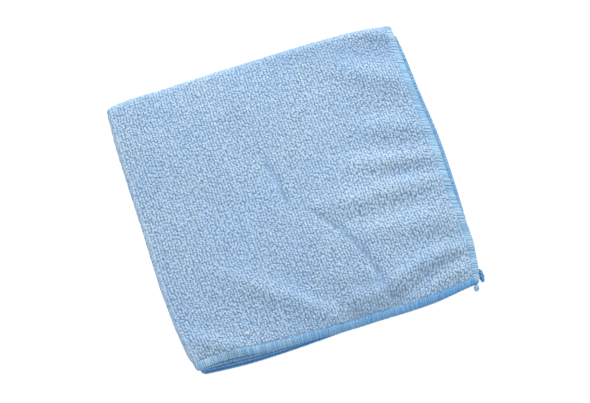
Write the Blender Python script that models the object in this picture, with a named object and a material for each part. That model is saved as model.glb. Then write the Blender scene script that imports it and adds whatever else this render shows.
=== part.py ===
"""Microfibre terry cloth, folded in half and in half again, lying flat on a table.

The sheet is one solid that runs back and forth through its four layers, named from the table
up: under, second, third, top. The first fold is the left edge (two folds, one for each pair of
layers) and the second fold is the far edge, where the outer sheet wraps round the inner one.
The near and right edges are the open hems, with two short tails of overlock thread at their
shared corner. Sizes below are in millimetres: X runs right along the near hems, Y runs away
to the second fold, Z is up, and the origin is on the table under the middle of the square.
"""
import math
from collections import namedtuple

import bmesh
import bpy
from mathutils import Vector

MM = 0.001

# Driving sizes
FOLDED_SIDE = 200.0              # half of the 400 mm cut
THICKNESS = 2.2                  # terry with the pile of both faces
GAP = 0.8                        # air between two layers
PITCH = THICKNESS + GAP
HALF_SIDE = FOLDED_SIDE / 2
HALF_SHEET = THICKNESS / 2
FIRST_FOLD_REACH = PITCH / 2 + HALF_SHEET          # centre of a pair's fold to its outside
SECOND_FOLD_REACH = 1.5 * PITCH + HALF_SHEET       # the same for the outer sheet at the far fold

# Overlocked hem, as distances in from the cut edge
EDGE_ROUNDING = 0.7
HEM_BAND = 5.0
GROOVE_MIDDLE = 6.5
PILE_START = 8.5
GROOVE_DEPTH = 0.6
BAND_DROP = 0.25

# Loft: inside the square the layers stand higher than at its edges, the top one most
LOFT = 2.6
LOFT_RUN = 12.0                  # distance in from an edge over which it builds up
LOFT_POWER = 2.5                 # how much of it the hidden layers leave to the top one
LEAST_GAP = 0.35                 # a trough never presses the top layer closer than this

# Grid of the faceted sheet
FINE_CELLS_ACROSS = 27           # over the top layer
FINE_CELLS_ALONG = 31
COARSE_CELLS = 6                 # over the hidden layers
FOLD_STEPS = 7

# How far each fold and hem stands outside (+) or inside (-) the 100 mm line of the square.
# "at" is the place along that edge: Y for the left and right edges, X for the far and near.
LeftFolds = namedtuple("LeftFolds", "at lower_pair upper_pair")
LEFT_FOLDS = (
    LeftFolds(-97, -7.8, -4.2),
    LeftFolds(-85, -4.2, -1.3),
    LeftFolds(-73, -1.9, 0.0),
    LeftFolds(-61, -0.6, 0.9),
    LeftFolds(-33, 0.7, 1.7),
    LeftFolds(0, 0.2, 1.0),
    LeftFolds(45, -0.7, 0.4),
    LeftFolds(69, -1.1, -0.1),
    LeftFolds(95, -2.6, -1.9),
)
FarFolds = namedtuple("FarFolds", "at outer_sheet inner_sheet")
FAR_FOLDS = (
    FarFolds(-97, -3.8, -8.6),
    FarFolds(-83, -1.7, -6.8),
    FarFolds(-61, -1.3, -6.5),
    FarFolds(-39, -0.5, -5.8),
    FarFolds(-6, 0.3, -5.2),
    FarFolds(38, 1.1, -4.8),
    FarFolds(71, 0.3, -6.2),
    FarFolds(92, -2.2, -9.0),
    FarFolds(98, -4.0, -11.0),
)
Hems = namedtuple("Hems", "at under second third top")
RIGHT_HEMS = (
    Hems(-96, -10.4, -9.8, -10.6, -9.0),
    Hems(-89, -8.6, -8.0, -8.6, -6.5),
    Hems(-82, -6.8, -6.8, -6.8, -4.9),
    Hems(-63, -3.6, -3.2, -3.0, -2.3),
    Hems(-33, -1.8, -1.0, -0.2, -3.0),
    Hems(10, -0.8, 0.2, 1.3, -1.9),
    Hems(47, -1.9, -1.1, -0.2, -3.2),
    Hems(77, -2.9, -1.9, -1.1, -3.6),
    Hems(95, -3.9, -3.0, -2.8, -3.8),
)
NEAR_HEMS = (
    Hems(-95, -3.4, -4.2, -3.8, -3.2),
    Hems(-81, -2.0, -2.9, -3.7, -4.4),
    Hems(-61, -0.9, -1.8, -2.7, -3.0),
    Hems(-41, -1.1, -1.7, -2.1, -1.5),
    Hems(-21, -1.9, -2.5, -2.3, -0.8),
    Hems(-1, -3.0, -3.2, -2.1, 0.2),
    Hems(29, -4.4, -4.0, -2.6, 0.1),
    Hems(59, -5.4, -4.6, -3.2, -0.5),
    Hems(83, -7.6, -7.0, -6.1, -3.7),
    Hems(93, -9.4, -9.0, -7.6, -5.2),
)

# Creases of the top layer. A crease runs from its start to its end, bowed sideways to its
# left (+) or right (-), and its height is up (+) or down (-).
Crease = namedtuple("Crease", "name start end bow width height")
CREASES = (
    Crease("far corner swell", (74, 95), (94, 86), 0, 5, 1.9),
    Crease("far corner trough", (60, 88), (93, 73), 2, 7, -2.9),
    Crease("first gather ridge", (52, 75), (90, 52), 0, 8, 3.0),
    Crease("first gather trough", (52, 41), (88, 38), 0, 6.5, -1.8),
    Crease("second gather ridge", (56, 29), (90, 20), 0, 6, 1.9),
    Crease("second gather trough", (48, 18), (90, 8), -2, 5.5, -2.1),
    Crease("third gather ridge", (38, 6), (92, -3), 0, 6, 2.3),
    Crease("third gather trough", (58, -7), (92, -12), 0, 4, -1.9),
    Crease("fourth gather ridge", (12, -16), (90, -20), 0, 6.5, 2.3),
    Crease("fourth gather trough", (26, -31), (86, -30), 0, 5, -2.0),
    Crease("fifth gather ridge", (34, -43), (92, -47), 0, 7, 2.2),
    Crease("fifth gather trough", (58, -62), (90, -62), 2.5, 5, -2.9),
    Crease("sixth gather ridge", (32, -83), (92, -68), 3, 4.8, 2.9),
    Crease("sixth gather trough", (38, -93), (92, -76), 2, 4.5, -2.4),
    Crease("seventh gather ridge", (58, -89), (90, -81), 0, 4.5, 1.4),
    Crease("near corner trough", (68, -92), (92, -90), 0, 4, -0.8),
    Crease("long valley", (2, -13), (35, -88), 8, 2.6, -2.0),
    Crease("swell before the valley", (-2, -22), (16, -52), -4, 9, 1.1),
    Crease("swell beyond the valley", (34, -52), (42, -78), 0, 9, 1.0),
    Crease("short valley", (-14, 32), (-7, -12), 1.2, 2.5, -2.1),
    Crease("near ridge", (-57, -44), (-2, -86), -2, 6.8, 3.2),
    Crease("near valley", (-76, -56), (-30, -90), 0, 7, -1.6),
    Crease("near ridge's far trough", (-27, -42), (6, -88), -3, 7, -2.6),
    Crease("swell by the near hem", (5, -58), (18, -90), 0, 5.5, 1.7),
    Crease("swell along the near hem", (0, -83), (48, -84), 0, 7, 2.3),
    Crease("near corner ridge", (-93, -78), (-64, -93), 1, 6, 2.7),
    Crease("near corner trough beside it", (-90, -66), (-56, -80), 0, 6, -0.9),
    Crease("middle hollow", (-67, 17), (-34, -7), 0, 14, -0.9),
    Crease("far left hollow", (-86, 84), (-58, 66), 0, 10, -0.7),
    Crease("far swell", (-60, 60), (40, 72), 4, 18, 0.8),
    Crease("first hem pucker", (5, -92), (1, -76), 0, 3, -0.9),
    Crease("second hem pucker", (22, -93), (16, -80), 0, 3, -0.9),
    Crease("third hem pucker", (40, -93), (32, -80), 0, 4.5, -1.6),
)

# Tails of overlock thread left at the open corner
Tail = namedtuple("Tail", "name start middle end radius")
TAILS = (
    Tail("thread_tail_upper", (89.0, -96.1, 10.0), (88.9, -97.8, 9.8), (88.7, -98.5, 8.3), 1.85),
    Tail("thread_tail_lower", (95.5, -84.8, 4.4), (95.9, -88.4, 4.2), (95.3, -92.0, 2.6), 1.8),
)
TAIL_SIDES = 8
TAIL_RINGS = 7


def blend(first, second, share):
    return first + (second - first) * share


def read_edge(table, column, at):
    """Reads a column of an edge table at a place between its rows, as a smooth curve."""
    places = [row.at for row in table]
    values = [getattr(row, column) for row in table]
    slopes = []
    for i in range(len(table)):
        before, after = max(i - 1, 0), min(i + 1, len(table) - 1)
        slopes.append((values[after] - values[before]) / (places[after] - places[before]))
    at = min(max(at, places[0]), places[-1])
    i = max(k for k in range(len(table) - 1) if places[k] <= at)
    run = places[i + 1] - places[i]
    t = (at - places[i]) / run
    return (
        values[i] * (1 + 2 * t) * (1 - t) ** 2
        + values[i + 1] * t * t * (3 - 2 * t)
        + slopes[i] * run * t * (1 - t) ** 2
        - slopes[i + 1] * run * t * t * (1 - t)
    )


def crease_height(crease, x, y):
    start, end = Vector(crease.start), Vector(crease.end)
    run = end - start
    length = run.length
    run.normalize()
    offset = Vector((x, y)) - start
    t = offset.dot(run) / length
    aside = offset.dot(Vector((-run.y, run.x)))
    inside = min(max(t, 0.0), 1.0)
    aside -= crease.bow * 4 * inside * (1 - inside)
    past_end = max(-t, t - 1, 0.0) * length
    taper = min(1.0, 0.45 + 2.2 * inside, 0.45 + 2.2 * (1 - inside))
    spread = (aside / crease.width) ** 2 + (past_end / (1.4 * crease.width)) ** 2
    return crease.height * taper * math.exp(-spread)


def lift(x, y, layer):
    """Rise over a flat stack at a layer: 0 is the under layer, which lies flat, 3 the top."""
    inward = max(0.0, HALF_SIDE - max(abs(x), abs(y)))
    loft = LOFT * (1 - math.exp(-inward / LOFT_RUN))
    rise = loft * (layer / 3) ** LOFT_POWER
    if layer > 2:
        crease = sum(crease_height(crease, x, y) for crease in CREASES)
        room = GAP - LEAST_GAP + loft * (1 - (2 / 3) ** LOFT_POWER)
        if crease < 0:
            crease = -room * (1 - math.exp(crease / room))
        top_share = layer - 2
        rise += crease * top_share * top_share * (3 - 2 * top_share)
    return rise


# A grid line of the sheet: its turn through the fold (0 before it, pi after it), its share of
# the way from the fold to the hem, and its distance from the hem.
Line = namedtuple("Line", "turn share from_hem")


def layer_lines(turn, cells):
    """Lines of one layer from its hem to just short of its fold."""
    edges = [0.0, EDGE_ROUNDING]
    if cells > COARSE_CELLS:
        edges += [HEM_BAND, GROOVE_MIDDLE]
    run = FOLDED_SIDE - SECOND_FOLD_REACH - PILE_START
    edges += [PILE_START + run * i / cells for i in range(cells)]
    return [Line(turn, 1 - edge / (PILE_START + run), edge) for edge in edges]


def sheet_lines(first_cells, second_cells):
    """Lines right across the sheet: hem, first layer, fold, second layer, hem."""
    lines = layer_lines(0.0, first_cells)
    lines += [Line(math.pi * i / FOLD_STEPS, 0.0, FOLDED_SIDE) for i in range(FOLD_STEPS + 1)]
    lines += reversed(layer_lines(math.pi, second_cells))
    return lines


def sheet_point(across, along, outward):
    """A point of the sheet, at a height outward from its middle (+ is the outside face)."""
    inner = (1 - math.cos(across.turn)) / 2        # 0 under and top, 1 second and third
    upper = (1 - math.cos(along.turn)) / 2         # 0 lower pair, 1 upper pair
    pair_level = 0.5 - (0.5 + outward / PITCH) * math.cos(across.turn)

    def hem(table, at):
        outer_sheet = blend(read_edge(table, "under", at), read_edge(table, "top", at), upper)
        inner_sheet = blend(read_edge(table, "second", at), read_edge(table, "third", at), upper)
        return HALF_SIDE + blend(outer_sheet, inner_sheet, inner)

    x = blend(-HALF_SIDE, HALF_SIDE, across.share)
    y = blend(HALF_SIDE, -HALF_SIDE, along.share)
    for _ in range(2):                             # each edge is read beside the point itself
        lower_left = read_edge(LEFT_FOLDS, "lower_pair", y)
        upper_left = read_edge(LEFT_FOLDS, "upper_pair", y)
        outer_far = read_edge(FAR_FOLDS, "outer_sheet", x) - SECOND_FOLD_REACH
        inner_far = read_edge(FAR_FOLDS, "inner_sheet", x) - FIRST_FOLD_REACH
        left = FIRST_FOLD_REACH - HALF_SIDE - blend(lower_left, upper_left, upper)
        far = HALF_SIDE + blend(outer_far, inner_far, inner)
        right, near = hem(RIGHT_HEMS, y), -hem(NEAR_HEMS, x)
        x = blend(left, right, across.share)
        y = blend(far, near, along.share)
    x -= (PITCH / 2 + outward) * math.sin(across.turn)
    y += (1.5 - pair_level) * PITCH * math.sin(along.turn)
    level = 1.5 - (1.5 - pair_level) * math.cos(along.turn)
    layer = 1.5 - (1.5 - inner) * math.cos(along.turn)
    return Vector((x, y, HALF_SHEET + PITCH * level + lift(x, y, layer))) * MM


def half_thickness(across, along, outside):
    """Half the sheet, thinner at its rim and, on the visible face, lower along its hems."""
    from_hem = min(across.from_hem, along.from_hem)
    half = HALF_SHEET * (0.5 if from_hem < EDGE_ROUNDING else 1.0)
    on_top = outside and across.turn == 0 and along.turn == math.pi
    if on_top and EDGE_ROUNDING <= from_hem < PILE_START:
        half -= GROOVE_DEPTH if from_hem == GROOVE_MIDDLE else BAND_DROP
    return half


def make_material(name, colour, roughness):
    material = bpy.data.materials.new(name)
    material.use_nodes = True
    shader = material.node_tree.nodes["Principled BSDF"]
    shader.inputs["Base Color"].default_value = (*colour, 1.0)
    shader.inputs["Roughness"].default_value = roughness
    shader.inputs["Metallic"].default_value = 0.0
    return material


def add_object(name, bm, material):
    bmesh.ops.recalc_face_normals(bm, faces=bm.faces)
    mesh = bpy.data.meshes.new(name)
    bm.to_mesh(mesh)
    bm.free()
    mesh.materials.append(material)
    mesh.shade_smooth()
    mesh.set_sharp_from_angle(angle=math.radians(50))
    made = bpy.data.objects.new(name, mesh)
    bpy.context.scene.collection.objects.link(made)
    return made


def make_cloth(material):
    """The whole sheet: an outside and an inside grid, joined round the four hems."""
    bm = bmesh.new()
    across_lines = sheet_lines(FINE_CELLS_ACROSS, COARSE_CELLS)
    along_lines = sheet_lines(COARSE_CELLS, FINE_CELLS_ALONG)
    grids = []
    for side in (1, -1):
        grid = []
        for along in along_lines:
            row = []
            for across in across_lines:
                half = half_thickness(across, along, side > 0)
                row.append(bm.verts.new(sheet_point(across, along, side * half)))
            grid.append(row)
        grids.append(grid)
        for below, above in zip(grid, grid[1:]):
            for i in range(len(below) - 1):
                bm.faces.new((below[i], below[i + 1], above[i + 1], above[i]))
    rims = []
    for grid in grids:
        left_to_right, back = grid[0], grid[-1][::-1]
        up = [row[-1] for row in grid[1:-1]]
        down = [row[0] for row in grid[1:-1]][::-1]
        rims.append(left_to_right + up + back + down)
    outside, inside = rims
    for i in range(len(outside)):
        bm.faces.new((outside[i - 1], outside[i], inside[i], inside[i - 1]))
    return add_object("cloth", bm, material)


def make_tail(tail, material):
    """A stub of thread chain: rings along a bend, rounded off at both ends."""
    bm = bmesh.new()
    start, middle, end = (Vector(point) for point in (tail.start, tail.middle, tail.end))
    rings = []
    for i in range(1, TAIL_RINGS + 1):
        angle = math.pi * i / (TAIL_RINGS + 1)
        t = (1 - math.cos(angle)) / 2
        centre = start * (1 - t) ** 2 + middle * 2 * t * (1 - t) + end * t * t
        heading = ((middle - start) * (1 - t) + (end - middle) * t).normalized()
        side = heading.cross(Vector((0, 0, 1))).normalized()
        top = side.cross(heading)
        radius = tail.radius * math.sin(angle) ** 0.5
        ring = []
        for k in range(TAIL_SIDES):
            turn = 2 * math.pi * k / TAIL_SIDES
            spoke = side * math.cos(turn) + top * math.sin(turn)
            ring.append(bm.verts.new((centre + spoke * radius) * MM))
        rings.append(ring)
    for ring, following in zip(rings, rings[1:]):
        for k in range(TAIL_SIDES):
            bm.faces.new((ring[k - 1], ring[k], following[k], following[k - 1]))
    for ring, tip in ((rings[0], start), (rings[-1], end)):
        point = bm.verts.new(tip * MM)
        for k in range(TAIL_SIDES):
            bm.faces.new((ring[k - 1], ring[k], point))
    return add_object(tail.name, bm, material)


def main():
    for leftover in list(bpy.data.objects):
        bpy.data.objects.remove(leftover)
    terry = make_material("microfibre terry, light blue", (0.35, 0.55, 0.83), 0.9)
    make_cloth(terry)
    for tail in TAILS:
        colour = (0.38, 0.61, 0.84) if tail.name.endswith("upper") else (0.20, 0.42, 0.71)
        make_tail(tail, make_material(tail.name + " polyester thread", colour, 0.7))


main()
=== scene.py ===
"""Folded microfibre terry cloth: its knitted ground, looped pile, overlocked hems and thread tails.

The cloth is one sheet that runs back and forth through four layers. Every piece is laid out on
the flat sheet first, in millimetres from its hems, and the same folding then carries it round
the first fold (the left edge) and the second fold (the far edge) into its place.
"""
import math
from collections import namedtuple

import bpy
import numpy as np
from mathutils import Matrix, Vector


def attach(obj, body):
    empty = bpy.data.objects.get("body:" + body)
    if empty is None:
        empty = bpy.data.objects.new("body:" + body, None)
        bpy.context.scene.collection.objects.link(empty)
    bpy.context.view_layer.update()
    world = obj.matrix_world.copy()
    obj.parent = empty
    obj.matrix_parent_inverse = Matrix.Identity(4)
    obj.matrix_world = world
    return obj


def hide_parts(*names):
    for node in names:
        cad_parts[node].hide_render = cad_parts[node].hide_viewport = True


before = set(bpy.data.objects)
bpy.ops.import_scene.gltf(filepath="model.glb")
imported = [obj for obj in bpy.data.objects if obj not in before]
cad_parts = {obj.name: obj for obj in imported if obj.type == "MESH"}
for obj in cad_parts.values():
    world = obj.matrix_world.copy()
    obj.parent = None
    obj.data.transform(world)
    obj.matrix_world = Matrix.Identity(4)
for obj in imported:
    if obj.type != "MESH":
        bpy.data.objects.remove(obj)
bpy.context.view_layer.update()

MM = 0.001

# ---------------------------------------------------------------- camera and light

CAMERA_DISTANCE = 2.2            # far off, so the square's sides stay parallel
CAMERA_AZIMUTH = math.radians(-18)
CAMERA_ELEVATION = math.radians(66)
SENSOR_WIDTH = 36
LENS = 209.41                    # mm, a long lens
AIM = Vector((-1.2, -3.0, 5.0)) * MM

SOFTBOX_PLACE = (0.24, 0.86, 0.74)                 # beyond the far fold, a little to the right
SOFTBOX_SIDE = 0.95
SOFTBOX_WATTS = 14.6
SOFTBOX_COLOUR = (1.0, 0.985, 0.96)                # a little warm
WALL_COLOUR = (0.955, 0.985, 1.0, 1.0)             # and the walls a little cool
WALL_BRIGHTNESS = 0.68


def look_at(thing, target):
    """Turns a camera or a light to face a point."""
    thing.rotation_euler = (Vector(target) - thing.location).to_track_quat("-Z", "Y").to_euler()


def add_to_scene(thing):
    bpy.context.scene.collection.objects.link(thing)
    return thing


def make_camera():
    lens = bpy.data.cameras.new("camera")
    lens.sensor_width = SENSOR_WIDTH
    lens.lens = LENS
    camera = add_to_scene(bpy.data.objects.new("camera", lens))
    level = math.cos(CAMERA_ELEVATION)
    away = Vector((
        math.sin(CAMERA_AZIMUTH) * level,
        -math.cos(CAMERA_AZIMUTH) * level,
        math.sin(CAMERA_ELEVATION),
    ))
    camera.location = AIM + away * CAMERA_DISTANCE
    look_at(camera, AIM)
    bpy.context.scene.camera = camera


def make_softbox():
    """A square studio softbox, aimed at the cloth."""
    lamp = bpy.data.lights.new("key_softbox", "AREA")
    lamp.shape = "SQUARE"
    lamp.size = SOFTBOX_SIDE
    lamp.energy = SOFTBOX_WATTS
    lamp.color = SOFTBOX_COLOUR
    box = add_to_scene(bpy.data.objects.new("key_softbox", lamp))
    box.location = SOFTBOX_PLACE
    look_at(box, (0, 0, 0))


def make_surroundings():
    """White studio walls: an even light from all round."""
    world = bpy.data.worlds.new("studio")
    world.use_nodes = True
    background = world.node_tree.nodes["Background"]
    background.inputs["Color"].default_value = WALL_COLOUR
    background.inputs["Strength"].default_value = WALL_BRIGHTNESS
    bpy.context.scene.world = world
    bpy.context.scene.view_settings.view_transform = "Standard"


make_camera()
make_surroundings()
make_softbox()

# ---------------------------------------------------------------- colours and materials

# Patterns, as how many there are to a millimetre. Single filaments are about 0.01 mm, too fine to
# show, so the fuzz is drawn as coarse as their clumps
DYE_CLOUDS_PER_MM = 0.028
PILE_FUZZ_PER_MM = 2.6
THREAD_FUZZ_PER_MM = 3.2
LOW_LOOP = 1.3                   # mm across


def srgb(hex_colour):
    """Linear colour of an sRGB hex value."""
    shares = [int(hex_colour[i:i + 2], 16) / 255 for i in (1, 3, 5)]
    return (*(s / 12.92 if s <= 0.04045 else ((s + 0.055) / 1.055) ** 2.4 for s in shares), 1.0)


def add_node(material, kind, settings=None, sockets=None, links=()):
    """Adds a node: its settings, its sockets' values, and (socket, node, output) links into it."""
    node = material.node_tree.nodes.new(kind)
    for name, value in (settings or {}).items():
        setattr(node, name, value)
    for name, value in (sockets or {}).items():
        node.inputs[name].default_value = value
    for socket, source, output in links:
        material.node_tree.links.new(source.outputs[output], node.inputs[socket])
    return node


def start_material(name):
    material = bpy.data.materials.new(name)
    material.use_nodes = True
    material.node_tree.nodes.clear()
    return material


def ramp_colours(ramp, stops):
    """Sets a colour ramp from (position, hex colour) stops."""
    elements = ramp.color_ramp.elements
    while len(elements) < len(stops):
        elements.new(1.0)
    for element, (position, colour) in zip(elements, stops):
        element.position = position
        element.color = srgb(colour)


def finish_material(material, shader):
    add_node(material, "ShaderNodeOutputMaterial", links=[("Surface", shader, "BSDF")])
    return material


def make_pile_material():
    """Looped polyester microfibre yarn, piece-dyed light blue, matt with the soft bloom of split
    filaments. Its colour carries painted shade: pale at the loops' crowns and deeper in colour down
    between them."""
    material = start_material("microfibre_pile")
    yarn = add_node(material, "ShaderNodeAttribute", {"attribute_name": "yarn"})
    parts = add_node(material, "ShaderNodeSeparateColor", links=[("Color", yarn, "Color")])
    # painted shade: the pile is drawn deeper in colour the lower a point sits in it
    depth_shade = add_node(material, "ShaderNodeValToRGB", links=[("Fac", parts, "Green")])
    ramp_colours(depth_shade, [(0.0, "#96B2CE"), (0.4, "#A9C4DF"), (1.0, "#BAD3EA")])
    # each loop's shade: a random tone, plus part of the painted light and shade of the top's areas
    shade = add_node(material, "ShaderNodeValToRGB", links=[("Fac", parts, "Red")])
    ramp_colours(shade, [(0.0, "#EAEDF0"), (0.5, "#F5F6F8"), (1.0, "#FFFFFF")])
    place = add_node(material, "ShaderNodeTexCoord")
    cloud = add_node(
        material, "ShaderNodeTexNoise",
        sockets={"Scale": DYE_CLOUDS_PER_MM / MM, "Detail": 3.0, "Roughness": 0.6},
        links=[("Vector", place, "Object")],
    )
    dye = add_node(material, "ShaderNodeValToRGB", links=[("Fac", cloud, "Fac")])
    ramp_colours(dye, [(0.3, "#F4F8FE"), (0.7, "#FFFDF9")])
    toned = add_node(
        material, "ShaderNodeMix", {"data_type": "RGBA", "blend_type": "MULTIPLY"},
        {"Factor": 1.0}, [(6, depth_shade, "Color"), (7, shade, "Color")],
    )
    dyed = add_node(
        material, "ShaderNodeMix", {"data_type": "RGBA", "blend_type": "MULTIPLY"},
        {"Factor": 1.0}, [(6, toned, 2), (7, dye, "Color")],
    )
    filaments = add_node(
        material, "ShaderNodeTexNoise",
        sockets={"Scale": PILE_FUZZ_PER_MM / MM, "Detail": 2.0},
        links=[("Vector", place, "Object")],
    )
    fuzz = add_node(
        material, "ShaderNodeBump", sockets={"Strength": 0.35, "Distance": 0.00025},
        links=[("Height", filaments, "Fac")],
    )
    shader = add_node(
        material, "ShaderNodeBsdfPrincipled",
        sockets={"Roughness": 0.95, "Specular IOR Level": 0.1, "Sheen Weight": 0.1,
                 "Sheen Roughness": 0.5},
        links=[("Base Color", dyed, 2), ("Normal", fuzz, "Normal")],
    )
    return finish_material(material, shader)


def make_ground_material():
    """The warp-knitted polyester ground between the loops: the same dye, seen in the shade, with
    the lowest loops as a bump."""
    material = start_material("knitted_ground")
    place = add_node(material, "ShaderNodeTexCoord")
    low_loops = add_node(
        material, "ShaderNodeTexVoronoi", {"feature": "F1"},
        {"Scale": 1 / (LOW_LOOP * MM), "Randomness": 0.9},
        [("Vector", place, "Object")],
    )
    colour = add_node(material, "ShaderNodeValToRGB", links=[("Fac", low_loops, "Distance")])
    ramp_colours(colour, [(0.0, "#A4C0DC"), (0.6, "#7898BA")])
    relief = add_node(
        material, "ShaderNodeBump", {"invert": True}, {"Strength": 0.8, "Distance": 0.0005},
        [("Height", low_loops, "Distance")],
    )
    shader = add_node(
        material, "ShaderNodeBsdfPrincipled",
        sockets={"Roughness": 0.95, "Specular IOR Level": 0.2},
        links=[("Base Color", colour, "Color"), ("Normal", relief, "Normal")],
    )
    return finish_material(material, shader)


def make_thread_material(name, dark, light):
    """Textured polyester filament, fluffy and matt with a faint sheen. Each stitch or fibre takes
    its own shade between the two colours; at the hems and the lower tail that shade is partly
    painted shade."""
    material = start_material(name)
    yarn = add_node(material, "ShaderNodeAttribute", {"attribute_name": "yarn"})
    parts = add_node(material, "ShaderNodeSeparateColor", links=[("Color", yarn, "Color")])
    tone = add_node(material, "ShaderNodeValToRGB", links=[("Fac", parts, "Red")])
    ramp_colours(tone, [(0.0, dark), (1.0, light)])
    place = add_node(material, "ShaderNodeTexCoord")
    filaments = add_node(
        material, "ShaderNodeTexNoise",
        sockets={"Scale": THREAD_FUZZ_PER_MM / MM, "Detail": 2.0},
        links=[("Vector", place, "Object")],
    )
    fuzz = add_node(
        material, "ShaderNodeBump", sockets={"Strength": 0.3, "Distance": 0.0002},
        links=[("Height", filaments, "Fac")],
    )
    shader = add_node(
        material, "ShaderNodeBsdfPrincipled",
        sockets={"Roughness": 0.7, "Specular IOR Level": 0.35, "Sheen Weight": 0.15,
                 "Sheen Roughness": 0.4},
        links=[("Base Color", tone, "Color"), ("Normal", fuzz, "Normal")],
    )
    return finish_material(material, shader)


def make_floor_material():
    """Opal acrylic shooting table, lit from below so that the cloth hardly shades it."""
    material = start_material("opal_acrylic")
    shader = add_node(
        material, "ShaderNodeBsdfPrincipled",
        sockets={"Base Color": srgb("#606060"), "Roughness": 0.9, "Specular IOR Level": 0.1,
                 "Emission Color": (1, 1, 1, 1), "Emission Strength": 0.95},
    )
    return finish_material(material, shader)


# ---------------------------------------------------------------- the folded sheet

THICKNESS = 2.2
GAP = 0.8                        # air between two layers
PITCH = THICKNESS + GAP
FOLDED_SIDE = 200.0
HALF_SIDE = FOLDED_SIDE / 2
HALF_SHEET = THICKNESS / 2
FIRST_FOLD_REACH = PITCH / 2 + HALF_SHEET
SECOND_FOLD_REACH = 1.5 * PITCH + HALF_SHEET
RUN = FOLDED_SIDE - SECOND_FOLD_REACH              # one layer, from its hem to its fold
SMALL_FOLD = math.pi * PITCH / 2                   # sheet used by a fold of two layers
LARGE_FOLD = math.pi * 1.5 * PITCH                 # and by the fold of all four

LOFT = 2.6                       # the top layer's rise inside the hems
LOFT_RUN = 12.0                  # how far in from the edges it builds up
LOFT_POWER = 2.5                 # the lower layers rise less, by this power of their level
LEAST_GAP = 0.35                 # a trough never presses the top layer closer than this

# Where the edges lie. "at" is a place along the edge, and the other columns say how far each
# layer reaches past the nominal square there (+) or falls short of it (-)
LeftFolds = namedtuple("LeftFolds", "at lower_pair upper_pair")
LEFT_FOLDS = (
    LeftFolds(-97, -7.8, -4.2),
    LeftFolds(-85, -4.2, -1.3),
    LeftFolds(-73, -1.9, 0.0),
    LeftFolds(-61, -0.6, 0.9),
    LeftFolds(-33, 0.7, 1.7),
    LeftFolds(0, 0.2, 1.0),
    LeftFolds(45, -0.7, 0.4),
    LeftFolds(69, -1.1, -0.1),
    LeftFolds(95, -2.6, -1.9),
)
FarFolds = namedtuple("FarFolds", "at outer_sheet inner_sheet")
FAR_FOLDS = (
    FarFolds(-97, -3.8, -8.6),
    FarFolds(-83, -1.7, -6.8),
    FarFolds(-61, -1.3, -6.5),
    FarFolds(-39, -0.5, -5.8),
    FarFolds(-6, 0.3, -5.2),
    FarFolds(38, 1.1, -4.8),
    FarFolds(71, 0.3, -6.2),
    FarFolds(92, -2.2, -9.0),
    FarFolds(98, -4.0, -11.0),
)
Hems = namedtuple("Hems", "at under second third top")
RIGHT_HEMS = (
    Hems(-96, -10.4, -9.8, -10.6, -9.0),
    Hems(-89, -8.6, -8.0, -8.6, -6.5),
    Hems(-82, -6.8, -6.8, -6.8, -4.9),
    Hems(-63, -3.6, -3.2, -3.0, -2.3),
    Hems(-33, -1.8, -1.0, -0.2, -3.0),
    Hems(10, -0.8, 0.2, 1.3, -1.9),
    Hems(47, -1.9, -1.1, -0.2, -3.2),
    Hems(77, -2.9, -1.9, -1.1, -3.6),
    Hems(95, -3.9, -3.0, -2.8, -3.8),
)
NEAR_HEMS = (
    Hems(-95, -3.4, -4.2, -3.8, -3.2),
    Hems(-81, -2.0, -2.9, -3.7, -4.4),
    Hems(-61, -0.9, -1.8, -2.7, -3.0),
    Hems(-41, -1.1, -1.7, -2.1, -1.5),
    Hems(-21, -1.9, -2.5, -2.3, -0.8),
    Hems(-1, -3.0, -3.2, -2.1, 0.2),
    Hems(29, -4.4, -4.0, -2.6, 0.1),
    Hems(59, -5.4, -4.6, -3.2, -0.5),
    Hems(83, -7.6, -7.0, -6.1, -3.7),
    Hems(93, -9.4, -9.0, -7.6, -5.2),
)
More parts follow.
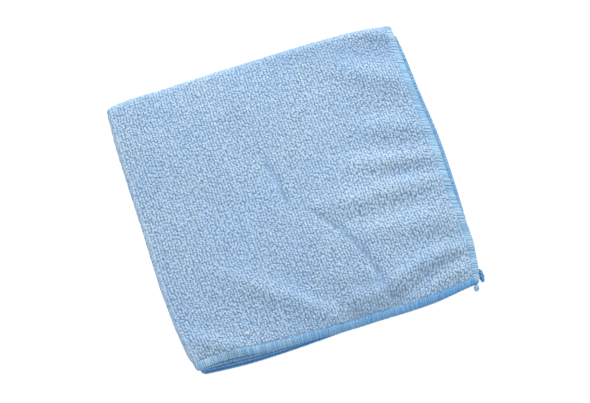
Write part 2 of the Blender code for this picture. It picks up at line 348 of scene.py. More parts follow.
# Creases of the top layer, each along a line from start to end, which bows aside in its middle.
# A ridge or swell is above 0, a trough, valley or hollow below
Crease = namedtuple("Crease", "name start end bow width height")
CREASES = (
    Crease("far corner swell", (74, 95), (94, 86), 0, 5, 1.9),
    Crease("far corner trough", (60, 88), (93, 73), 2, 7, -2.9),
    Crease("first gather ridge", (52, 75), (90, 52), 0, 8, 3.0),
    Crease("first gather trough", (52, 41), (88, 38), 0, 6.5, -1.8),
    Crease("second gather ridge", (56, 29), (90, 20), 0, 6, 1.9),
    Crease("second gather trough", (48, 18), (90, 8), -2, 5.5, -2.1),
    Crease("third gather ridge", (38, 6), (92, -3), 0, 6, 2.3),
    Crease("third gather trough", (58, -7), (92, -12), 0, 4, -1.9),
    Crease("fourth gather ridge", (12, -16), (90, -20), 0, 6.5, 2.3),
    Crease("fourth gather trough", (26, -31), (86, -30), 0, 5, -2.0),
    Crease("fifth gather ridge", (34, -43), (92, -47), 0, 7, 2.2),
    Crease("fifth gather trough", (58, -62), (90, -62), 2.5, 5, -2.9),
    Crease("sixth gather ridge", (32, -83), (92, -68), 3, 4.8, 2.9),
    Crease("sixth gather trough", (38, -93), (92, -76), 2, 4.5, -2.4),
    Crease("seventh gather ridge", (58, -89), (90, -81), 0, 4.5, 1.4),
    Crease("near corner trough", (68, -92), (92, -90), 0, 4, -0.8),
    Crease("long valley", (2, -13), (35, -88), 8, 2.6, -2.0),
    Crease("swell before the valley", (-2, -22), (16, -52), -4, 9, 1.1),
    Crease("swell beyond the valley", (34, -52), (42, -78), 0, 9, 1.0),
    Crease("short valley", (-14, 32), (-7, -12), 1.2, 2.5, -2.1),
    Crease("near ridge", (-57, -44), (-2, -86), -2, 6.8, 3.2),
    Crease("near valley", (-76, -56), (-30, -90), 0, 7, -1.6),
    Crease("near ridge's far trough", (-27, -42), (6, -88), -3, 7, -2.6),
    Crease("swell by the near hem", (5, -58), (18, -90), 0, 5.5, 1.7),
    Crease("swell along the near hem", (0, -83), (48, -84), 0, 7, 2.3),
    Crease("near corner ridge", (-93, -78), (-64, -93), 1, 6, 2.7),
    Crease("near corner trough beside it", (-90, -66), (-56, -80), 0, 6, -0.9),
    Crease("middle hollow", (-67, 17), (-34, -7), 0, 14, -0.9),
    Crease("far left hollow", (-86, 84), (-58, 66), 0, 10, -0.7),
    Crease("far swell", (-60, 60), (40, 72), 4, 18, 0.8),
    Crease("first hem pucker", (5, -92), (1, -76), 0, 3, -0.9),
    Crease("second hem pucker", (22, -93), (16, -80), 0, 3, -0.9),
    Crease("third hem pucker", (40, -93), (32, -80), 0, 4.5, -1.6),
)

CREASE_END_HEIGHT = 0.45         # a crease has this share of its height at its ends
CREASE_END_SLOPE = 2.2           # and gains this much for each length of it
CREASE_END_REACH = 1.4           # past them it fades over this many widths


def blend(first, second, share):
    return first + (second - first) * share


def read_edge(table, column, at):
    """Reads a column of an edge table at places between its rows, as a smooth curve."""
    places = np.array([row.at for row in table], float)
    values = np.array([getattr(row, column) for row in table], float)
    before = np.maximum(np.arange(len(table)) - 1, 0)
    after = np.minimum(np.arange(len(table)) + 1, len(table) - 1)
    slopes = (values[after] - values[before]) / (places[after] - places[before])
    at = np.clip(at, places[0], places[-1])
    i = np.clip(np.searchsorted(places, at, side="right") - 1, 0, len(table) - 2)
    run = places[i + 1] - places[i]
    t = (at - places[i]) / run
    return (
        values[i] * (1 + 2 * t) * (1 - t) ** 2
        + values[i + 1] * t * t * (3 - 2 * t)
        + slopes[i] * run * t * (1 - t) ** 2
        - slopes[i + 1] * run * t * t * (1 - t)
    )


def crease_height(crease, x, y):
    run = Vector(crease.end) - Vector(crease.start)
    length = run.length
    run.normalize()
    dx, dy = x - crease.start[0], y - crease.start[1]
    t = (dx * run.x + dy * run.y) / length
    inside = np.clip(t, 0.0, 1.0)
    aside = dy * run.x - dx * run.y - crease.bow * 4 * inside * (1 - inside)
    past_end = np.maximum(np.maximum(-t, t - 1), 0.0) * length
    taper = np.minimum(1.0, CREASE_END_HEIGHT + CREASE_END_SLOPE * np.minimum(inside, 1 - inside))
    spread = (aside / crease.width) ** 2 + (past_end / (CREASE_END_REACH * crease.width)) ** 2
    return crease.height * taper * np.exp(-spread)


def lift(x, y, layer):
    """Rise over a flat stack at a layer: 0 is the under layer, which lies flat, 3 the top."""
    inward = np.maximum(0.0, HALF_SIDE - np.maximum(np.abs(x), np.abs(y)))
    loft = LOFT * (1 - np.exp(-inward / LOFT_RUN))
    crease = sum(crease_height(row, x, y) for row in CREASES)
    room = GAP - LEAST_GAP + loft * (1 - (2 / 3) ** LOFT_POWER)
    crease = np.where(crease < 0, -room * (1 - np.exp(np.minimum(crease, 0) / room)), crease)
    top_share = np.clip(layer - 2, 0.0, 1.0)
    top_share = top_share * top_share * (3 - 2 * top_share)
    return loft * (np.maximum(layer, 0) / 3) ** LOFT_POWER + crease * top_share


def place_on_run(along, fold):
    """Turns a distance along the sheet, from hem through fold to hem, into a turn and a share."""
    turn = math.pi * np.clip((along - RUN) / fold, 0, 1)
    share = np.where(along < RUN, 1 - along / RUN, np.maximum(along - RUN - fold, 0) / RUN)
    return turn, share


def fold_points(across, along, outward):
    """Folds points of the flat sheet into place, in metres.

    across is the distance in mm from the outer sheet's right hem, along the distance from the
    lower pair's near hem, and outward the height over the sheet's middle, + on the face that is
    outside when folded (the top of the cloth and its underside)."""
    turn_x, share_x = place_on_run(across, SMALL_FOLD)
    inner = (1 - np.cos(turn_x)) / 2
    turn_y, share_y = place_on_run(along, blend(LARGE_FOLD, SMALL_FOLD, inner))
    upper = (1 - np.cos(turn_y)) / 2
    pair_level = 0.5 - (0.5 + outward / PITCH) * np.cos(turn_x)

    def hem(table, at):
        outer_sheet = blend(read_edge(table, "under", at), read_edge(table, "top", at), upper)
        inner_sheet = blend(read_edge(table, "second", at), read_edge(table, "third", at), upper)
        return HALF_SIDE + blend(outer_sheet, inner_sheet, inner)

    x = blend(-HALF_SIDE, HALF_SIDE, share_x)
    y = blend(HALF_SIDE, -HALF_SIDE, share_y)
    for _ in range(2):
        lower_left = read_edge(LEFT_FOLDS, "lower_pair", y)
        upper_left = read_edge(LEFT_FOLDS, "upper_pair", y)
        outer_far = read_edge(FAR_FOLDS, "outer_sheet", x) - SECOND_FOLD_REACH
        inner_far = read_edge(FAR_FOLDS, "inner_sheet", x) - FIRST_FOLD_REACH
        left = FIRST_FOLD_REACH - HALF_SIDE - blend(lower_left, upper_left, upper)
        far = HALF_SIDE + blend(outer_far, inner_far, inner)
        right, near = hem(RIGHT_HEMS, y), -hem(NEAR_HEMS, x)
        x = blend(left, right, share_x)
        y = blend(far, near, share_y)
    x = x - (PITCH / 2 + outward) * np.sin(turn_x)
    y = y + (1.5 - pair_level) * PITCH * np.sin(turn_y)
    level = 1.5 - (1.5 - pair_level) * np.cos(turn_y)
    layer = 1.5 - (1.5 - inner) * np.cos(turn_y)
    z = HALF_SHEET + PITCH * level + lift(x, y, layer)
    return np.stack([x, y, z], axis=-1) * MM


# Distances right across the sheet and right along it (the outer sheet's, through the far fold)
SHEET_ACROSS = 2 * RUN + SMALL_FOLD
SHEET_ALONG = 2 * RUN + LARGE_FOLD
INNER_ALONG = 2 * RUN + SMALL_FOLD

# ---------------------------------------------------------------- meshes


def make_mesh(name, points, faces, material, yarn):
    """A piece from its points and faces, pressed flat where it lies on the table. yarn holds
    each point's shade and its height in the pile."""
    points[:, 2] = np.maximum(points[:, 2], 0.0)
    mesh = bpy.data.meshes.new(name)
    mesh.from_pydata(points.tolist(), [], faces)
    mesh.materials.append(material)
    mesh.shade_smooth()
    colours = np.zeros((len(points), 4))
    colours[:, :2] = yarn
    colours[:, 3] = 1
    attribute = mesh.attributes.new("yarn", "FLOAT_COLOR", "POINT")
    attribute.data.foreach_set("color", colours.ravel())
    piece = add_to_scene(bpy.data.objects.new(name, mesh))
    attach(piece, "root")
    return piece


GROUND_HALF = 0.75               # half the knitted ground's thickness
HEM_HALF = 0.55                  # where the hem's threads draw it together
RIM_HALF = 0.3                   # and at its cut edge
GROUND_INSET = 0.55              # the threads that wrap its cut edge stand this far out
HEM_LINES = (GROUND_INSET, 1.0, 2.5, 5.0, 6.5)     # lines of points along a hem, from its edge
RUN_CELLS = 62                   # cells over one layer, and round the two folds
SMALL_FOLD_CELLS = 10
LARGE_FOLD_CELLS = 16
GROUND_SHADE = 0.6
LAYER_SHADE_START = 0.1                 # at the table, before the darkest painted shade applies
DARKEST_LAYER_SHADE = 0.35


def painted_layer_shade(height):
    """Painted shade: how much deeper in colour a hem is drawn the lower it lies, from the deep blue
    of the lowest layer to the top.
    """
    return np.clip(height / (4 * PITCH * MM) + LAYER_SHADE_START, DARKEST_LAYER_SHADE, 1.0)


def make_ground(material, hem_material):
    """The knitted ground, a thin closed sheet through all four layers."""

    def lines(fold, fold_cells):
        last = HEM_LINES[-1]
        first = list(HEM_LINES)
        first += [last + (RUN - last) * i / RUN_CELLS for i in range(1, RUN_CELLS)]
        bend = [RUN + fold * i / fold_cells for i in range(fold_cells + 1)]
        return np.array(first + bend + [2 * RUN + fold - at for at in first[::-1]])

    across = lines(SMALL_FOLD, SMALL_FOLD_CELLS)
    turns, shares = place_on_run(lines(LARGE_FOLD, LARGE_FOLD_CELLS), LARGE_FOLD)
    from_end_x = np.minimum(across, SHEET_ACROSS - across)
    points, from_ends = [], []
    inner = (1 - np.cos(place_on_run(across, SMALL_FOLD)[0])) / 2
    fold_here = blend(LARGE_FOLD, SMALL_FOLD, inner)
    for side in (1, -1):
        for turn, share in zip(turns, shares):
            if turn == 0:
                along = RUN * (1 - share) + 0 * across
            else:
                along = RUN + fold_here * turn / math.pi + RUN * share
            from_end = np.minimum(from_end_x, RUN * (1 - share))
            half = np.where(from_end < HEM_LINES[-1] - 0.1, HEM_HALF, GROUND_HALF)
            half = np.where(from_end < GROUND_INSET + 0.1, RIM_HALF, half)
            points.append(fold_points(across, along, side * half))
            from_ends.append(from_end)
    rows, columns = len(turns), len(across)
    points, from_ends = np.concatenate(points), np.concatenate(from_ends)
    faces = []
    for side in (0, 1):
        base = side * rows * columns
        for j in range(rows - 1):
            for i in range(columns - 1):
                corner = base + j * columns + i
                quad = (corner, corner + 1, corner + columns + 1, corner + columns)
                faces.append(quad if side else quad[::-1])
    rim = list(range(columns))
    rim += [j * columns + columns - 1 for j in range(1, rows)]
    rim += [(rows - 1) * columns + i for i in range(columns - 2, -1, -1)]
    rim += [j * columns for j in range(rows - 2, 0, -1)]
    back = rows * columns
    for first, second in zip(rim, rim[1:] + rim[:1]):
        faces.append((first, second, second + back, first + back))
    # painted shade: the lower a layer lies, the deeper in colour its hem's ground is drawn
    shades = GROUND_SHADE * painted_layer_shade(points[:, 2])
    yarn = np.stack([shades, np.ones_like(shades)], axis=1)
    ground = make_mesh("knitted_ground", points, faces, material, yarn)
    ground.data.materials.append(hem_material)
    in_hem = [from_ends[list(face)].max() < SEAM + 0.2 for face in faces]
    ground.data.polygons.foreach_set("material_index", np.array(in_hem, np.int32))
    return ground


def tube_faces(count, rings, sides):
    """Faces of many like tubes of rings points round, closed at both ends."""
    ring, side = np.meshgrid(np.arange(rings - 1), np.arange(sides), indexing="ij")
    ring, side = ring.ravel(), side.ravel()
    following = (side + 1) % sides
    quads = np.stack([
        ring * sides + side, ring * sides + following,
        (ring + 1) * sides + following, (ring + 1) * sides + side,
    ], axis=1)
    per_tube = rings * sides
    starts = np.arange(count)[:, None, None] * per_tube
    faces = (quads[None] + starts).reshape(-1, 4).tolist()
    for tube in range(count):
        first = tube * per_tube
        faces.append(tuple(range(first + sides - 1, first - 1, -1)))
        faces.append(tuple(range(first + per_tube - sides, first + per_tube)))
    return faces


# ---------------------------------------------------------------- pile

SHARP_CREASES = ("long valley", "short valley")
PINCH_WIDTH = 1.7                # of the line where the pile closes up in their bottoms
PINCH_HEIGHT = 0.3               # a closed loop loses this share of its height
PINCH_DEPTH = 0.4                # and is drawn with this much more of the painted shade of its depth
# Painted light and shade: areas of the top's pile drawn paler (+) or deeper in colour (-)
# where light and shade fall on it: height is the share of the change
PAINTED_LIGHT_AND_SHADE_AREAS = (
    Crease("painted shade along the near hem", (0, -96), (44, -97), 0, 9, -0.8),
    Crease("painted shade beside the long valley", (10, -68), (34, -79), 0, 6, -0.6),
    Crease("painted shade along the far fold", (8, 94), (94, 80), 0, 9, -0.55),
    Crease("painted light at the near left corner", (-86, -85), (-52, -95), 0, 6, 0.95),
    Crease("painted light across the gathers", (34, 14), (68, -38), 0, 26, 0.75),
    Crease("painted light near the first gather", (-10, 66), (72, 62), 0, 7, 0.3),
    Crease("painted light across the middle", (-36, 50), (8, -34), 0, 12, 0.2),
)

RIB_PITCH = 1.9                  # between the pile's ribs, which run away from the near hem
LOOP_PITCH = 1.45                # between loops along a rib
FOLD_RIB_PITCH = 1.15            # ribs open up round the left folds, so they are drawn closer
UNDER_LOOP_PITCH = 3.8           # and the hidden underside has fewer loops
RIB_STAGGER = 0.618              # each rib starts this share of a loop after the one before it
PILE_START = 5.8                 # the pile stops this far from a cut edge
HEM_SHORTER = 0.15               # loops beside the hem are this share shorter
HEM_SHORTER_RUN = 2.5            # and grow to full height over this distance

# How a measure differs from loop to loop
Spread = namedtuple("Spread", "middle deviation least most")
LOOP_LENGTH = Spread(2.7, 0.4, 1.9, 3.7)
LOOP_TURN = Spread(0.0, 0.3, -0.9, 0.9)            # radians from its rib
LOOP_LEAN = Spread(0.0, 0.22, -0.6, 0.6)
LOOP_HEIGHT = Spread(0.88, 0.1, 0.5, 1.05)         # share of the tallest
YARN_HALF_WIDTH = Spread(0.86, 0.09, 0.6, 1.1)
LOOP_SKEW = 0.16                 # of its arch, to one end or the other
ACROSS_JITTER = 0.22             # of its root
ALONG_JITTER = 0.4
YARN_JITTER = 0.06               # of the yarn's width along the loop
FLATNESS = 0.45                  # a loop's yarn is pressed to this share of its width
FOOT_HEIGHT = 0.15               # a loop starts this far over the sheet's middle
FOOT_WIDTH = 0.66                # share of the yarn's width there
FLAT_SIDE_UP = 0.75              # turns a five-sided yarn's section so that a side is on top
TOP_SIDE = 0.8                   # and that side is at this share of its half height
ARCH_POWER = 0.5                 # under 1, so that an arch has square shoulders
WIDTH_POWER = 0.6
SHADE_ODDS = (3.0, 2.0)          # of a beta distribution: more loops are pale than deep
TONE_SHADE = 0.4                 # share of a painted light and shade area's tone that goes to the loop's shade


def far_end(across):
    """Length along the sheet at a place across it: the inner sheet turns a tighter far fold."""
    turn, _ = place_on_run(across, SMALL_FOLD)
    return 2 * RUN + blend(LARGE_FOLD, SMALL_FOLD, (1 - np.cos(turn)) / 2)


def from_hem(across, along):
    """Distance to the nearest of the flat sheet's cut edges."""
    beside = np.minimum(across, SHEET_ACROSS - across)
    return np.minimum(beside, np.minimum(along, far_end(across) - along))


def pinch(x, y):
    """How far the pile is closed up, from 0 to 1, in the sharp bottoms of the creased valleys."""
    shut = 0.0 * x
    for row in CREASES:
        if row.name in SHARP_CREASES:
            line = row._replace(width=PINCH_WIDTH, height=1.0)
            shut = np.maximum(shut, crease_height(line, x, y))
    return shut


def painted_light_and_shade(x, y, z):
    """Painted light and shade: how much paler (+) or deeper in colour (-) the top's pile is drawn in
    its painted areas.
    """
    return sum(crease_height(row, x, y) for row in PAINTED_LIGHT_AND_SHADE_AREAS) * (z > 2 * PITCH)


def draw(rng, spread, count):
    return rng.normal(spread.middle, spread.deviation, count).clip(spread.least, spread.most)


def make_loops(name, roots, tallest, material, seed, rings=4, sides=5):
    """Terry loops rooted at points of the flat sheet, one short arch of yarn for each.

    An arch runs along its rib, leans aside and is turned a little, each by its own amount."""
    rng = np.random.default_rng(seed)
    across, along = roots
    count = len(across)
    x, y, z = (fold_points(across, along, 0.0) / MM).T
    shut = pinch(x, y)
    tone = painted_light_and_shade(x, y, z)
    length = draw(rng, LOOP_LENGTH, count)
    yaw = draw(rng, LOOP_TURN, count)
    lean = draw(rng, LOOP_LEAN, count)
    height = tallest * draw(rng, LOOP_HEIGHT, count) * (1 - PINCH_HEIGHT * shut)
    grown = np.clip((from_hem(across, along) - PILE_START) / HEM_SHORTER_RUN, 0, 1)
    height = height * (1 - HEM_SHORTER * (1 - grown))
    half_width = draw(rng, YARN_HALF_WIDTH, count)
    skew = rng.normal(0.0, LOOP_SKEW, count)
    shade = np.clip(rng.beta(*SHADE_ODDS, count) + TONE_SHADE * tone, 0, 1)
    across = across + rng.normal(0.0, ACROSS_JITTER, count)
    along = along + rng.normal(0.0, ALONG_JITTER, count)

    t = np.linspace(0, 1, rings)[None, :]
    arch = np.maximum(np.sin(math.pi * (t + skew[:, None] * t * (1 - t))), 0)
    crown_rise = height - TOP_SIDE * FLATNESS * half_width - FOOT_HEIGHT
    rise = FOOT_HEIGHT + crown_rise[:, None] * arch ** ARCH_POWER
    run = (t - 0.5) * length[:, None]
    centre_across = across[:, None] + run * np.sin(yaw)[:, None] + lean[:, None] * arch
    centre_along = along[:, None] + run * np.cos(yaw)[:, None]
    thick = half_width[:, None] * (FOOT_WIDTH + (1 - FOOT_WIDTH) * arch ** WIDTH_POWER)
    thick = thick * rng.normal(1.0, YARN_JITTER, (count, rings))
    slope = np.gradient(rise, axis=1) / np.gradient(run, axis=1)
    pitch = np.arctan(slope)

    angle = 2 * math.pi * ((np.arange(sides) + FLAT_SIDE_UP) / sides)[None, None, :]
    beside = np.cos(angle) * thick[:, :, None]
    over = FLATNESS * np.sin(angle) * thick[:, :, None]
    points_across = centre_across[:, :, None] + beside * np.cos(yaw)[:, None, None]
    points_along = (
        centre_along[:, :, None]
        - beside * np.sin(yaw)[:, None, None]
        - over * np.sin(pitch)[:, :, None]
    )
    outward = rise[:, :, None] + over * np.cos(pitch)[:, :, None]
    points = fold_points(points_across.ravel(), points_along.ravel(), outward.ravel())
    # painted shade: deeper in colour low in the pile and where a valley closes it, plus the painted
    # light and shade of the top's areas
    painted_depth_shade = np.clip(outward / tallest, 0, 1) * (1 - PINCH_DEPTH * shut)[:, None, None]
    tone = tone[:, None, None]
    painted_depth_shade = np.where(tone < 0, painted_depth_shade * (1 + tone), painted_depth_shade + (1 - painted_depth_shade) * tone).ravel()
    shades = np.repeat(shade, rings * sides)
    faces = tube_faces(count, rings, sides)
    return make_mesh(name, points, faces, material, np.stack([shades, painted_depth_shade], axis=1))


def rib_grid(first_across, last_across, first_along, last_along, across_pitch=RIB_PITCH,
             along_pitch=LOOP_PITCH):
    """Roots of loops over a rectangle of the flat sheet, each rib started at its own place."""
    ribs = np.arange(first_across, last_across, across_pitch)
    steps = np.arange(first_along, last_along, along_pitch)
    starts = (np.arange(len(ribs)) * RIB_STAGGER) % 1.0 * along_pitch
    across = np.repeat(ribs, len(steps))
    along = (steps[None, :] + starts[:, None]).ravel()
    keep = along < last_along
    return across[keep], along[keep]


# The tallest loop's crown over the sheet's middle
TOP_PILE = 1.45
FAR_FOLD_PILE = 1.26
LEFT_FOLD_PILE = 1.16
UNDER_PILE = 1.06                # under the cloth's weight, just clear of the table


def make_pile(material):
    """The pile on the faces that show: top, far fold, the two left folds and the underside."""
    top_start = RUN + LARGE_FOLD
    top_end = SHEET_ALONG - PILE_START
    middle = (PILE_START + RUN) / 2
    third = (RUN - PILE_START) / 3
    right = rib_grid(PILE_START, PILE_START + third, top_start, top_end)
    centre = rib_grid(PILE_START + third, RUN - third, top_start, top_end)
    left = rib_grid(RUN - third, RUN, top_start, top_end)
    far_fold = rib_grid(PILE_START, RUN, RUN, top_start)
    under_right = rib_grid(PILE_START, middle, PILE_START, RUN, RIB_PITCH, UNDER_LOOP_PITCH)
    under_left = rib_grid(middle, RUN, PILE_START, RUN, RIB_PITCH, UNDER_LOOP_PITCH)
    lower_fold = rib_grid(RUN, RUN + SMALL_FOLD, PILE_START, RUN, FOLD_RIB_PITCH)
    upper_fold = lower_fold[0], far_end(lower_fold[0]) - lower_fold[1]
    return [
        make_loops("pile_top_right", right, TOP_PILE, material, seed=11),
        make_loops("pile_top_middle", centre, TOP_PILE, material, seed=18),
        make_loops("pile_top_left", left, TOP_PILE, material, seed=12),
        make_loops("pile_far_fold", far_fold, FAR_FOLD_PILE, material, seed=13),
        make_loops("pile_under_right", under_right, UNDER_PILE, material, seed=14, sides=4),
        make_loops("pile_under_left", under_left, UNDER_PILE, material, seed=15, sides=4),
        make_loops("pile_lower_left_fold", lower_fold, LEFT_FOLD_PILE, material, seed=16),
        make_loops("pile_upper_left_fold", upper_fold, LEFT_FOLD_PILE, material, seed=17),
    ]


# ---------------------------------------------------------------- overlocked hems

STITCH = 2.1                     # one overlock stitch along the hem
SEAM = 4.9                       # where its loops are caught, from the cut edge
THREAD_SIDES = 5
# A looper thread's way round the cut edge, from the seam on one face to the seam on the other:
# its inset from the edge and its height over the sheet's middle
WRAP = (
    (4.9, 0.5),
    (3.6, 0.78),
    (1.9, 0.8),
    (0.75, 0.62),
    (0.3, 0.0),
    (0.75, -0.62),
    (1.9, -0.76),
    (3.6, -0.74),
    (4.9, -0.5),
)
# The looper threads' half widths and half heights, pressed into the band
UPPER_THREAD = (0.52, 0.36)
LOWER_THREAD = (0.5, 0.24)
WRAP_SLANT = 0.9                 # a turn is this much further along the hem when it reaches the edge
WRAP_START = 0.4                 # the first turn's distance from a corner
LEAST_INSET = 0.3                # where a corner's mitre shortens a turn
STITCH_JITTER = 0.16             # along the hem
REACH_JITTER = 0.06              # share of a turn's width
SHADE_RANGE = (0.7, 1.3)         # from stitch to stitch
STEP_ASIDE = 0.3                 # how far to each side a hem's direction is taken
# The needle thread's stitches: the place along a stitch and the height over the sheet's middle
NEEDLE_STITCH = ((0.0, 0.3), (0.25, 0.6), (0.75, 0.6))
NEEDLE_INSET = SEAM + 0.1
NEEDLE_HALF_WIDTH = 0.26
NEEDLE_HALF_HEIGHT = 0.22
NEEDLE_SHADE = 0.6


def unit(vectors):
    return vectors / np.linalg.norm(vectors, axis=-1, keepdims=True)


def sweep(routes, half_width, half_height, sides, beside=(1.0, 0.0, 0.0)):
    """Rings of points for threads along routes in space, one route or many. A thread is
    half_width to its side, which is kept near the direction beside, and half_height over that."""
    heading = unit(np.gradient(routes, axis=-2))
    above = unit(np.cross(beside, heading))
    beside = np.cross(heading, above)
    angle = 2 * math.pi * np.arange(sides)[:, None] / sides
    rings = (
        beside[..., None, :] * np.cos(angle) * half_width
        + above[..., None, :] * np.sin(angle) * half_height
    )
    return (routes[..., None, :] + rings).reshape(-1, 3)


def edge_points(edge, run, inset, outward):
    """Points beside a cut edge of the sheet: run along it and inset from it."""
    if edge == "outer_right":
        return fold_points(inset, run, outward)
    if edge == "inner_right":
        return fold_points(SHEET_ACROSS - inset, run, outward)
    if edge == "lower_near":
        return fold_points(run, inset, outward)
    return fold_points(run, far_end(run) - inset, outward)


EDGE_LENGTHS = {
    "outer_right": SHEET_ALONG,
    "inner_right": INNER_ALONG,
    "lower_near": SHEET_ACROSS,
    "upper_near": SHEET_ACROSS,
}
# Painted shade: how pale the thread is drawn, at a hem's outer end and at its fold, by how the
# light falls on the hem: the top layer's near hem is drawn deeper in colour to the right
HEM_PAINTED_SHADES = {
    "outer_right": (0.8, 0.8),
    "inner_right": (0.7, 0.7),
    "lower_near": (0.7, 0.7),
    "upper_near": (0.3, 0.88),
}


def make_wraps(name, offset, thread, material, seed):
    """A looper thread's turns round all four cut edges, one for each stitch."""
    rng = np.random.default_rng(seed)
    half_width, half_height = thread
    inset, outward = np.array(WRAP).T
    slant = WRAP_SLANT * (1 - inset / SEAM)
    slant[len(WRAP) // 2 + 1:] = 2 * WRAP_SLANT - slant[len(WRAP) // 2 + 1:]
    points, shades, count = [], [], 0
    for edge, length in EDGE_LENGTHS.items():
        starts = np.arange(WRAP_START + offset, length - 2 * WRAP_SLANT - WRAP_START, STITCH)
        starts = starts + rng.normal(0.0, STITCH_JITTER, len(starts))
        run = starts[:, None] + slant
        from_corner = np.minimum(starts, length - starts)[:, None]
        mitre = np.clip((from_corner + LEAST_INSET) / SEAM, 0, 1)
        width = 1 + rng.normal(0.0, REACH_JITTER, (len(starts), 1))
        reach = np.maximum(inset * mitre * width, LEAST_INSET)
        routes = edge_points(edge, run, reach, outward + 0 * run)
        ahead = edge_points(edge, run + STEP_ASIDE, reach, outward + 0 * run)
        behind = edge_points(edge, run - STEP_ASIDE, reach, outward + 0 * run)
        points.append(sweep(
            routes, half_width * MM, half_height * MM, THREAD_SIDES, unit(ahead - behind)))
        # painted shade by hem and by layer, with a random change from stitch to stitch
        shade = blend(*HEM_PAINTED_SHADES[edge], np.clip(starts / RUN, 0, 1) ** 2)
        shade = shade * rng.uniform(*SHADE_RANGE, len(starts)) * painted_layer_shade(routes[:, 0, 2])
        shades.append(np.repeat(shade, len(WRAP) * THREAD_SIDES))
        count += len(starts)
    shades = np.concatenate(shades)
    yarn = np.stack([shades, np.ones_like(shades)], axis=1)
    faces = tube_faces(count, len(WRAP), THREAD_SIDES)
    return make_mesh(name, np.concatenate(points), faces, material, yarn)


def make_needle_thread(material):
    """The needle thread's stitches along all four hems, where the pile stops."""
    place, height = np.array(NEEDLE_STITCH).T
    points, faces, base = [], [], 0
    for edge, length in EDGE_LENGTHS.items():
        count = int((length - 2 * SEAM) / STITCH)
        run = ((np.arange(count)[:, None] + place) * STITCH + SEAM).ravel()
        outward = np.tile(height, count)
        inset = NEEDLE_INSET + 0 * run
        inward = edge_points(edge, run, inset + STEP_ASIDE, outward)
        inward = inward - edge_points(edge, run, inset - STEP_ASIDE, outward)
        route = edge_points(edge, run, inset, outward)
        points.append(sweep(
            route, NEEDLE_HALF_WIDTH * MM, NEEDLE_HALF_HEIGHT * MM, THREAD_SIDES, unit(inward)))
        faces += [tuple(corner + base for corner in tube)
                  for tube in tube_faces(1, len(route), THREAD_SIDES)]
        base += len(route) * THREAD_SIDES
    points = np.concatenate(points)
    yarn = np.full((len(points), 2), NEEDLE_SHADE)
    return make_mesh("overlock_needle_thread", points, faces, material, yarn)


def make_hem_threads(material):
    return [
        make_wraps("overlock_upper_looper", 0.0, UPPER_THREAD, material, seed=21),
        make_wraps("overlock_lower_looper", STITCH / 2, LOWER_THREAD, material, seed=22),
        make_needle_thread(material),
    ]


# Tails of chained thread at the open corner, as their CAD stubs lie
Tail = namedtuple("Tail", "name start middle end radius shade")
TAILS = (
    Tail("thread_tail_upper",
         (89.0, -96.1, 10.0), (88.9, -97.8, 9.8), (88.7, -98.5, 8.3), 1.85, 0.7),
    # the lower tail is drawn deeper in colour: painted shade
    Tail("thread_tail_lower",
         (95.5, -84.8, 4.4), (95.9, -88.4, 4.2), (95.3, -92.0, 2.6), 1.8, 0.25),
)
STRANDS = 3
STRAND_SHARE = 0.52              # a strand's half width, as a share of the tail's
STRAND_TURNS = 0.9               # that the strands wind round over the tail's length
STRAND_SIDES = 8
TAIL_ROOT = -0.15                # it starts this share of its length inside the hem
TAIL_RINGS = 22
WIDEST_AT = 0.45                 # share of its length, and it narrows to nothing this far on
NARROWS_OVER = 0.66
LEAST_NARROWING = 0.03


def make_tail(tail, material):
    """A tail of thread chain: three strands that wind round one another and narrow at the tip."""
    start, middle, end = (np.array(point) for point in (tail.start, tail.middle, tail.end))
    t = np.linspace(TAIL_ROOT, 1.0, TAIL_RINGS)[:, None]
    spine = start * (1 - t) ** 2 + middle * 2 * t * (1 - t) + end * t * t
    heading = unit(np.gradient(spine, axis=0))
    beside = unit(np.cross(heading, (0.0, 0.0, 1.0)))
    above = np.cross(beside, heading)
    narrowing = 1.0 - ((t - WIDEST_AT) / NARROWS_OVER) ** 2
    narrowing = np.sqrt(np.clip(narrowing, LEAST_NARROWING, 1))
    strand = tail.radius * STRAND_SHARE
    routes = []
    for k in range(STRANDS):
        turn = 2 * math.pi * (k / STRANDS + STRAND_TURNS * t)
        wind = beside * np.cos(turn) + above * np.sin(turn)
        routes.append(spine + wind * (tail.radius - strand) * narrowing)
    routes = np.array(routes)
    rings = sweep(routes * MM, strand * MM, strand * MM, STRAND_SIDES)
    rings = rings.reshape(STRANDS, TAIL_RINGS, STRAND_SIDES, 3)
    centres = routes[:, :, None] * MM
    points = (centres + (rings - centres) * narrowing[None, :, :, None]).reshape(-1, 3)
    yarn = np.full((len(points), 2), tail.shade)
    faces = tube_faces(STRANDS, TAIL_RINGS, STRAND_SIDES)
    piece = make_mesh(tail.name + "_chain", points, faces, material, yarn)
    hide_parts(tail.name)
    return piece


LINT_PLACE = (-60.4, -85.3)      # where a tuft of lint has caught in the pile
LINT_FIBRES = 22
LINT_SPREAD = 1.7                # half a fibre's longest run
LINT_HALF_WIDTH = 0.16
LINT_SIDES = 4
LINT_RINGS = 7
LINT_HEIGHT = 1.35               # over the sheet's middle, on the loops' crowns
LINT_DEPTH = 0.6                 # of the tuft
LINT_BEND = 0.5                  # how far a fibre bows aside
LINT_SCATTER = 0.4               # of the fibres' middles
LEAST_LINT_TURN = 0.15           # radians that a fibre is turned from the ribs


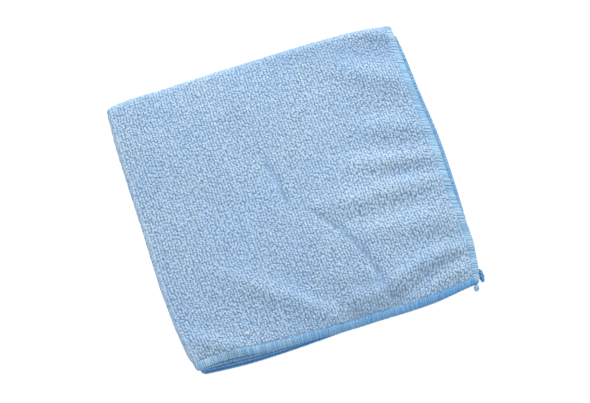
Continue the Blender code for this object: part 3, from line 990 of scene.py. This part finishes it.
def make_lint(material):
    """A small tangle of pale loose fibres, caught on the pile by the near hem."""
    rng = np.random.default_rng(31)
    across = RUN * (HALF_SIDE - LINT_PLACE[0]) / FOLDED_SIDE
    along = SHEET_ALONG - RUN * (HALF_SIDE + LINT_PLACE[1]) / FOLDED_SIDE
    t = np.linspace(-1, 1, LINT_RINGS)
    turn = rng.uniform(LEAST_LINT_TURN, math.pi - LEAST_LINT_TURN, (LINT_FIBRES, 1))
    run = LINT_SPREAD * rng.uniform(0.5, 1.0, (LINT_FIBRES, 1)) * t
    aside = rng.normal(0.0, LINT_BEND, (LINT_FIBRES, 1)) * (1 - t * t)
    start = rng.normal(0.0, LINT_SCATTER, (2, LINT_FIBRES, 1))
    routes = fold_points(
        across + start[0] + run * np.sin(turn) - aside * np.cos(turn),
        along + start[1] + run * np.cos(turn) + aside * np.sin(turn),
        LINT_HEIGHT + rng.uniform(0.0, LINT_DEPTH, (LINT_FIBRES, 1)) * (1 - 0.6 * t * t),
    )
    half_width = LINT_HALF_WIDTH * MM
    points = sweep(routes, half_width, half_width, LINT_SIDES, (0.0, 0.0, 1.0))
    shades = np.repeat(rng.uniform(0.2, 1.0, LINT_FIBRES), LINT_RINGS * LINT_SIDES)
    yarn = np.stack([shades, np.ones_like(shades)], axis=1)
    faces = tube_faces(LINT_FIBRES, LINT_RINGS, LINT_SIDES)
    return make_mesh("lint_tuft", points, faces, material, yarn)


# ---------------------------------------------------------------- put together

FLOOR_HALF = 3.0


def make_floor(material):
    """The shooting table that the cloth lies on."""
    corners = [(x * FLOOR_HALF, y * FLOOR_HALF, 0) for x, y in ((-1, -1), (1, -1), (1, 1), (-1, 1))]
    mesh = bpy.data.meshes.new("floor")
    mesh.from_pydata(corners, [], [(0, 1, 2, 3)])
    mesh.materials.append(material)
    return add_to_scene(bpy.data.objects.new("floor", mesh))


pile_material = make_pile_material()
ground_material = make_ground_material()
thread_material = make_thread_material("overlock_thread", "#2C89CC", "#ACCEE3")
lint_material = make_thread_material("lint_fibre", "#C6DAEE", "#DFEAF6")

ground = make_ground(ground_material, thread_material)
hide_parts("cloth")
pile = make_pile(pile_material)
threads = make_hem_threads(thread_material)
threads += [make_tail(tail, thread_material) for tail in TAILS]
lint = make_lint(lint_material)

make_floor(make_floor_material())
